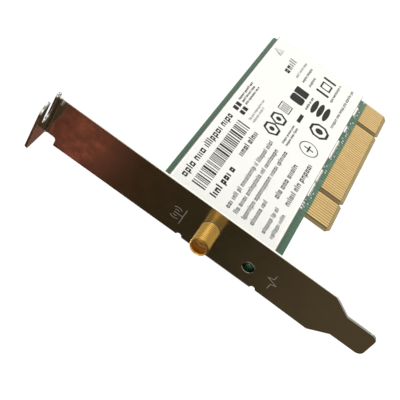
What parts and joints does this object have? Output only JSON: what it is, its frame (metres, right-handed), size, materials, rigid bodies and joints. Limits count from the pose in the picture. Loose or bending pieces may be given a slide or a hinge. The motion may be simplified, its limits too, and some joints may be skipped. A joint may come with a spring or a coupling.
{
  "type": "wireless network card",
  "caption": "Slot-mounted wireless network card: bracket with bent tab, board with card edge, shield can with label, threaded antenna jack and status light.",
  "frame": {"origin": "on the outer face of the slot bracket, level with the lower rim of the card edge, on the plane of the board's component side", "axes": "+X from the bracket's outer face along the board into the computer, +Y from the component side towards the solder side, +Z from the card edge up towards the bracket's bent tab"},
  "size_m": [0.1313, 0.0223, 0.12],
  "materials": {
    "steel": "bright plated, mirror-like",
    "laminate": "solder mask, satin gloss",
    "gold": "gold plated, bright",
    "tin": "tin plated, satin",
    "paper": "printed label, matt",
    "insulator": "smooth moulded",
    "lens": "clear green moulded",
    "black": "fine matt mould",
    "ceramic": "fired, matt"
  },
  "bodies": {
    "root": {"antenna_capacitor": "ceramic", "antenna_switch": "black", "baseband_chip": "black", "board": "laminate", "bracket": "steel", "capacitor_1": "ceramic", "capacitor_2": "ceramic", "contacts_back_1": "gold", "contacts_back_2": "gold", "contacts_back_3": "gold", "contacts_front_1": "gold", "contacts_front_2": "gold", "contacts_front_3": "gold", "crystal": "tin", "filter_1": "ceramic", "filter_2": "ceramic", "inductor": "black", "jack_insulator": "insulator", "jack_pin": "gold", "jack_shell": "gold", "label": "paper", "led_holder": "black", "led_lead_1": "tin", "led_lead_2": "tin", "led_lens": "lens", "led_resistor": "black", "memory_chip": "black", "power_amplifier_1": "black", "power_amplifier_2": "black", "radio_chip": "black", "regulator": "black", "rivet_1": "tin", "rivet_2": "tin", "shield_cover": "tin", "shield_frame": "tin"}
  },
  "joints": []
}
